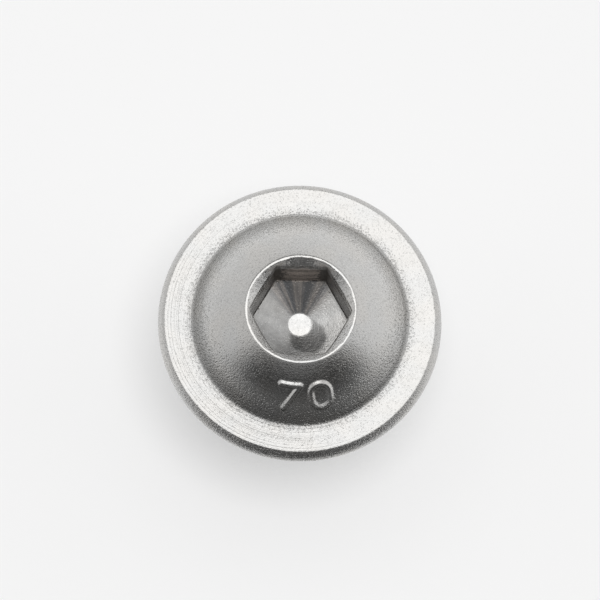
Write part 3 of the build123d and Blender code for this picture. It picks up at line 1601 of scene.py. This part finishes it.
@dataclass(frozen=True)
class Studio:
    """Pale floor and soft light: a soft box overhead, pale walls and a dark front."""

    floor_colour: float = 0.495
    floor_glow: float = 0.398
    floor_half_size: float = 500.0
    floor_drop: float = 0.015
    floor_front: float = 15.0
    backdrop: float = 0.913
    wall_light: float = 0.92
    wall_change: float = 0.12
    brighter_way: Way = (0.8, 0.6)
    front: Front = Front()
    surround: Glow = Glow(104.0, 15.6, 28.0, 46.0, 0.70)
    gap: Glow = Glow(100.0, 34.0, 12.0, 28.0, 0.225)
    box: Glow = Glow(97.0, 15.6, 14.5, 24.5, 1.84)
    lens: Glow = Glow(-93.5, 22.0, 17.0, 25.0, 0.285)
    lamp_level: float = 0.52
    lamp_turn: float = -70.0
    lamp_lean: float = 8.5
    lamp_spread: float = 10.0
    lamp_distance: float = 3000.0

    def floor(self, height: float) -> bpy.types.Object:
        """A flat square floor that takes the shadow.

        It lies a hair low, so that it doesn't cut into the end, and it stops a little in front
        of the screw, where the metal shows the dark front instead.

        Args:
            height: Height of the screw's end, in millimetres.

        Returns:
            The floor.
        """
        half, level = self.floor_half_size * MM, (height - self.floor_drop) * MM
        front = -self.floor_front * MM
        corners = [(-half, front), (half, front), (half, half), (-half, half)]
        mesh = bpy.data.meshes.new("floor")
        mesh.from_pydata([(x, y, level) for x, y in corners], [], [(0, 1, 2, 3)])
        mesh.materials.append(self.floor_paint())
        made = placed("floor", mesh)
        log.info("floor: %.1f mm under the bearing face", -height)
        return made

    def floor_paint(self) -> bpy.types.Material:
        """Matt paint, with a glow that only the camera, metal and glass see.

        The glow brings the floor up to the backdrop's tone.

        Returns:
            The material.
        """
        paint = bpy.data.materials.new("pale_floor")
        paint.use_nodes = True
        paint.cycles.emission_sampling = "NONE"
        g = Graph(paint.node_tree)
        matt = g.add("ShaderNodeBsdfDiffuse", (self.floor_colour,) * 3)
        ray = g.add("ShaderNodeLightPath").outputs
        seen = g.math("MAXIMUM", ray["Is Camera Ray"], ray["Is Glossy Ray"])
        seen = g.math("MAXIMUM", seen, ray["Is Transmission Ray"])
        glow = g.add("ShaderNodeEmission")
        lit = g.fill(glow, "Emission", Strength=g.math("MULTIPLY", seen, self.floor_glow))
        both = g.add("ShaderNodeAddShader", matt.outputs[0], lit)
        g.surface("ShaderNodeOutputMaterial", both.outputs[0])
        return paint

    def lamp(self, aim_height: float) -> bpy.types.Object:
        """A soft round lamp over the screw, which lights the floor and isn't seen in the metal.

        Its power is the level times pi squared times its distance squared, so that by itself it
        shows a matt white floor at that level.

        Args:
            aim_height: Height of the point on the axis that it shines at.

        Returns:
            The lamp.
        """
        distance = self.lamp_distance * MM
        data = bpy.data.lights.new("lamp", "AREA")
        data.shape = "DISK"
        data.size = 2.0 * distance * math.tan(math.radians(self.lamp_spread))
        data.energy = self.lamp_level * (math.pi * distance) ** 2
        way = Vector(heading(self.lamp_turn, self.lamp_lean))
        made = placed("lamp", data)
        made.location = Vector((0.0, 0.0, aim_height * MM)) + distance * way
        made.rotation_euler = way.to_track_quat("Z", "Y").to_euler()
        made.visible_glossy = False
        return made

    def world(self) -> None:
        """The light from all round, worked out from the direction.

        It is the walls' level, a little brighter at the back and the right, with the dark front
        and then the patches laid over it. The camera sees a plain backdrop.
        """
        made = bpy.data.worlds.new("studio")
        made.use_nodes = True
        bpy.context.scene.world = made
        g = Graph(made.node_tree)
        way = g.add("ShaderNodeTexCoord").outputs["Generated"]
        beside = g.toward(way, *self.brighter_way)
        light = g.math("MULTIPLY_ADD", beside, self.wall_change, self.wall_light)
        for layer in (self.front, self.surround, self.gap, self.box, self.lens):
            light = layer.over(g, way, light)
        glow = g.fill(g.add("ShaderNodeBackground"), "Background", Strength=light)
        plain = g.add("ShaderNodeBackground", (self.backdrop,) * 3).outputs[0]
        camera_ray = g.add("ShaderNodeLightPath").outputs["Is Camera Ray"]
        seen = g.add("ShaderNodeMixShader", camera_ray, glow, plain)
        g.surface("ShaderNodeOutputWorld", seen.outputs[0])
        log.info("studio: walls %.2f, box %.2f", self.wall_light, self.box.level)


@dataclass(frozen=True)
class View:
    """Camera that looks steeply down on the head. Its clipping distances are in metres."""

    elevation: float = 75.4
    azimuth: float = -3.5
    roll: float = 4.6
    distance: float = 300.0
    frame_width: float = 27.92
    aim_across: float = 0.011
    aim_up: float = 1.063
    sensor: float = 36.0
    clip_start: float = 0.01
    clip_end: float = 50.0

    def camera(self, aim_height: float) -> bpy.types.Object:
        """The scene's camera.

        It stands at the distance back from a point near the collar's middle, and it is rolled
        about the line that it looks along.

        Args:
            aim_height: Height of the point on the axis that the aim is measured from.

        Returns:
            The camera.
        """
        roll = math.radians(self.roll)
        back = Vector(heading(self.azimuth - 90.0, 90.0 - self.elevation))
        level = Vector((0.0, 0.0, 1.0)).cross(back).normalized()
        rise = back.cross(level)
        right = math.cos(roll) * level + math.sin(roll) * rise
        up = math.cos(roll) * rise - math.sin(roll) * level
        aim = Vector((0.0, 0.0, aim_height)) + self.aim_across * right + self.aim_up * up
        data = bpy.data.cameras.new("camera")
        data.sensor_width = self.sensor
        data.lens = self.sensor * self.distance / self.frame_width
        data.clip_start, data.clip_end = self.clip_start, self.clip_end
        made = placed("camera", data)
        turned = Matrix((right, up, back)).transposed().to_4x4()
        made.matrix_world = Matrix.Translation((aim + self.distance * back) * MM) @ turned
        bpy.context.scene.camera = made
        return made


def main() -> None:
    """Loads the solid, builds the screw round it, and sets the floor, light and camera."""
    logging.basicConfig(level=logging.INFO, format="%(name)s: %(message)s")
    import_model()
    low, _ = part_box(NODE)
    screw = Screw()
    screw.build()
    studio = Studio()
    studio.floor(low.z / MM)
    studio.lamp(0.0)
    studio.world()
    View().camera(screw.head.collar_thickness / 2)
    bpy.context.scene.view_settings.view_transform = "Standard"


if __name__ == "__main__":
    main()
